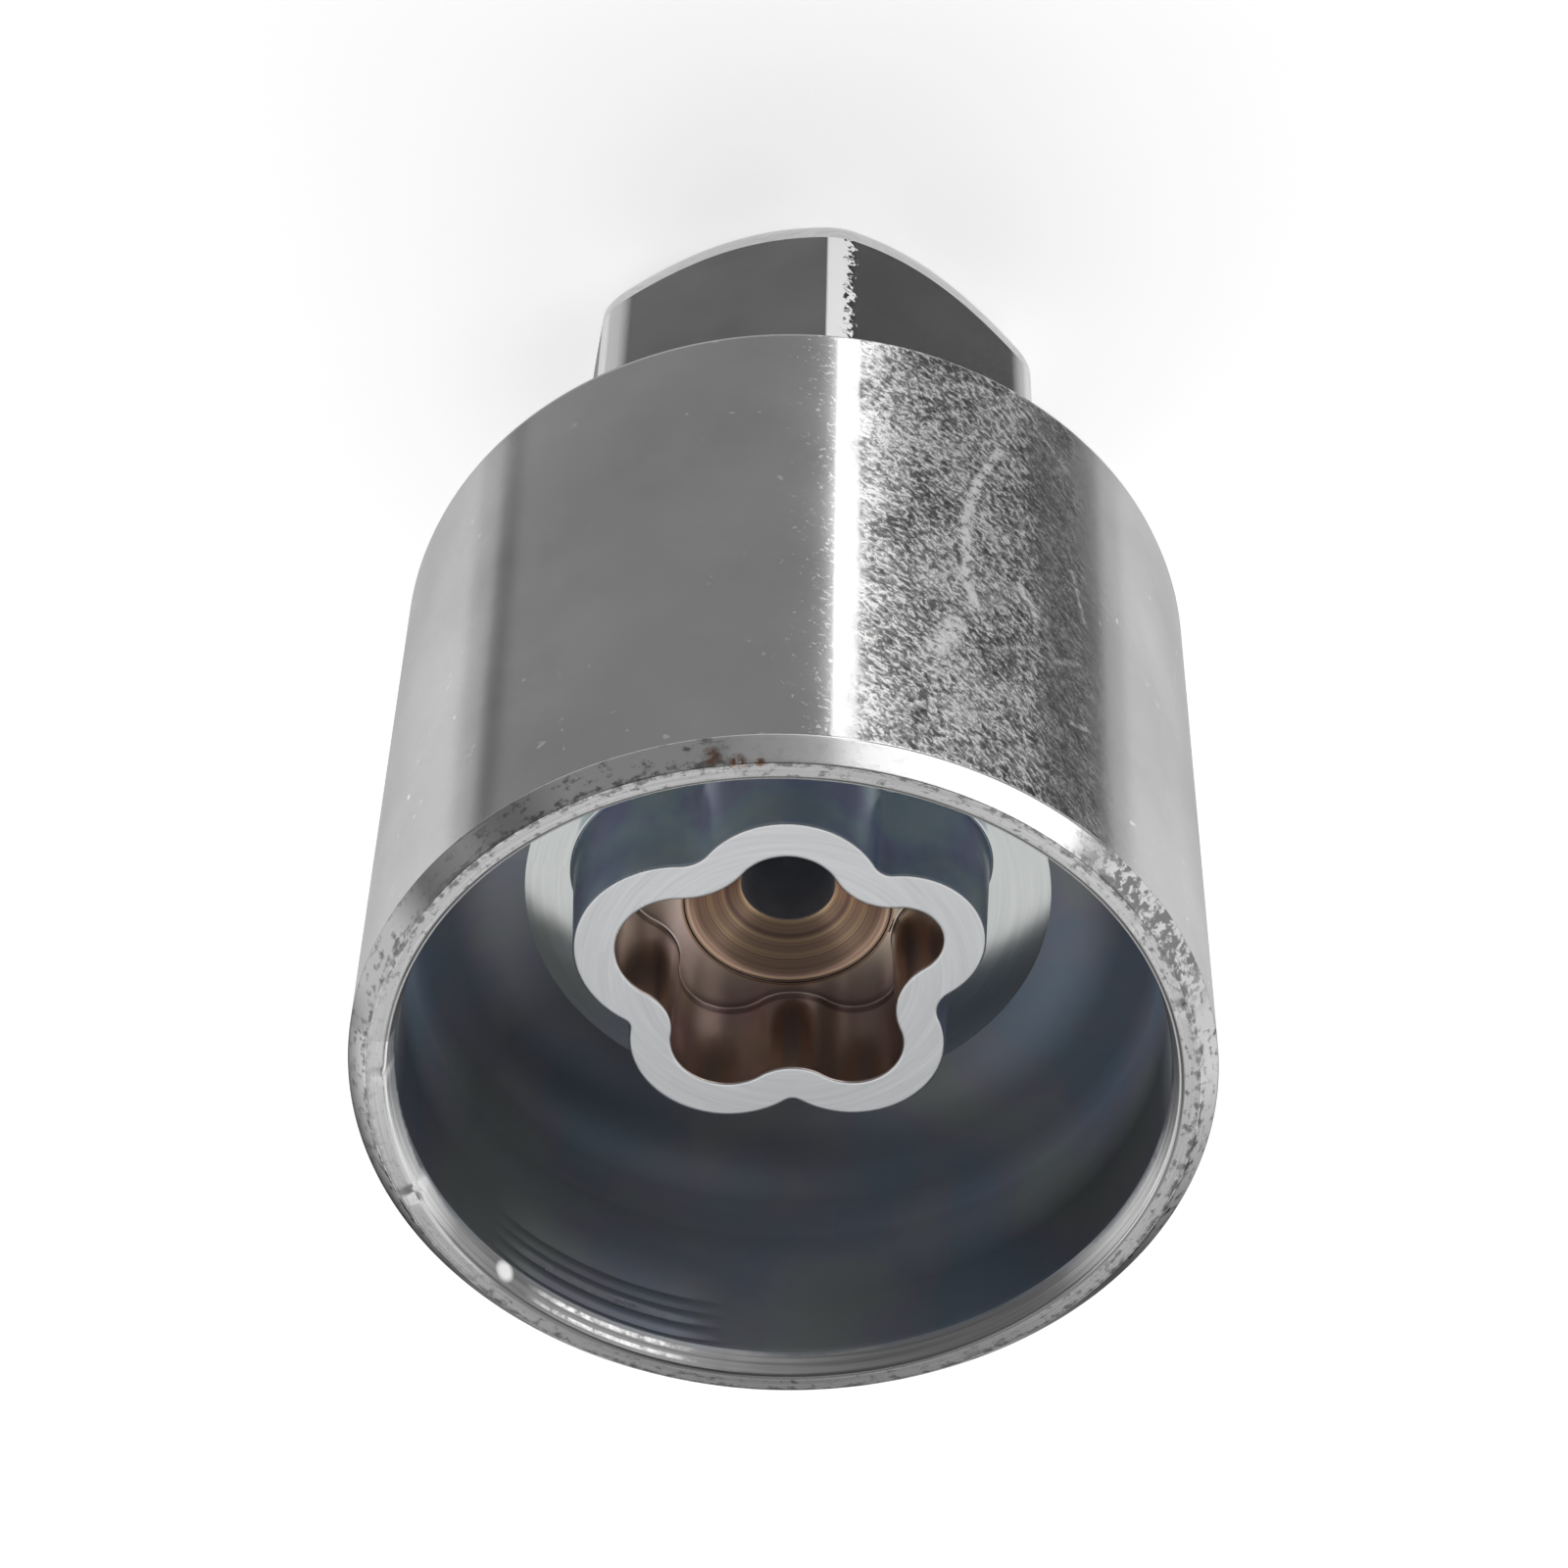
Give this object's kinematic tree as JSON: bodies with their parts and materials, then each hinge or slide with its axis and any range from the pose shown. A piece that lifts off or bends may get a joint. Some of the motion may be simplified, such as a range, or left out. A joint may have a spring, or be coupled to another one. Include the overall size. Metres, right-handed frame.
{
  "type": "locking wheel nut key",
  "caption": "Steel key for a locking wheel nut: a round socket with a lobed ridge inside it, on a hexagon for the wheel brace.",
  "frame": {"origin": "centre of the hexagon's end face, on which the key stands", "axes": "+Z along the key's axis, from the hexagon towards the mouth of the socket; two flats of the hexagon face +X and -X"},
  "size_m": [0.0355, 0.0354, 0.0516],
  "materials": {
    "plated_steel": "turned and plated, worn and speckled on one side, bright at the mouth and the ridge"
  },
  "bodies": {
    "root": {"nut_key": "plated_steel"}
  },
  "joints": []
}
